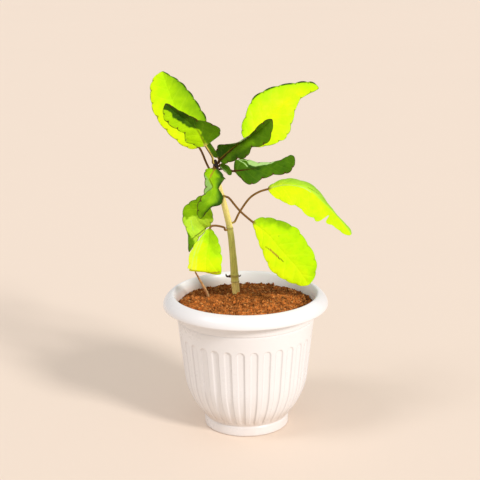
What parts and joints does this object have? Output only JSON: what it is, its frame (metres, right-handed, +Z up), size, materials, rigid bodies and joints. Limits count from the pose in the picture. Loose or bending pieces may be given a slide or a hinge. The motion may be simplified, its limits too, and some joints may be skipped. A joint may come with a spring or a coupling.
{
  "type": "potted plant",
  "caption": "Young succulent plant with fleshy toothed leaves on a bare stem, in a round fluted pot with a rolled rim, filled with fibrous soil.",
  "frame": {"origin": "middle of the pot's foot, at the height it stands on", "axes": "+Z up along the pot's axis; -Y is the side the plant's open side faces"},
  "size_m": [0.1805, 0.1494, 0.32],
  "materials": {
    "pot": "white, glossy",
    "soil": "loose brown fibre",
    "stem": "green to straw, satin",
    "leaf_top_left_back": "waxy, satin",
    "leaf_top_left_front": "waxy, satin",
    "leaf_top_right_back": "waxy, satin",
    "leaf_top_right_front": "waxy, satin",
    "leaf_middle_right": "waxy, satin",
    "leaf_arched_right": "waxy, satin",
    "leaf_low_right": "waxy, satin",
    "leaf_low_left": "waxy, satin",
    "leaf_side_left": "waxy, satin",
    "leaf_hanging_front": "waxy, satin",
    "young_leaf_upper": "waxy, satin",
    "young_leaf_lower": "waxy, satin",
    "dry_twig": "dry, matt",
    "dry_stub_left": "dry, matt",
    "dry_stub_right": "dry, matt"
  },
  "bodies": {
    "root": {"pot": "pot", "soil": "soil", "stem": "stem", "leaf_top_left_back": "leaf_top_left_back", "leaf_top_left_front": "leaf_top_left_front", "leaf_top_right_back": "leaf_top_right_back", "leaf_top_right_front": "leaf_top_right_front", "leaf_middle_right": "leaf_middle_right", "leaf_arched_right": "leaf_arched_right", "leaf_low_right": "leaf_low_right", "leaf_low_left": "leaf_low_left", "leaf_side_left": "leaf_side_left", "leaf_hanging_front": "leaf_hanging_front", "young_leaf_upper": "young_leaf_upper", "young_leaf_lower": "young_leaf_lower", "dry_twig": "dry_twig", "dry_stub_left": "dry_stub_left", "dry_stub_right": "dry_stub_right"}
  },
  "joints": []
}
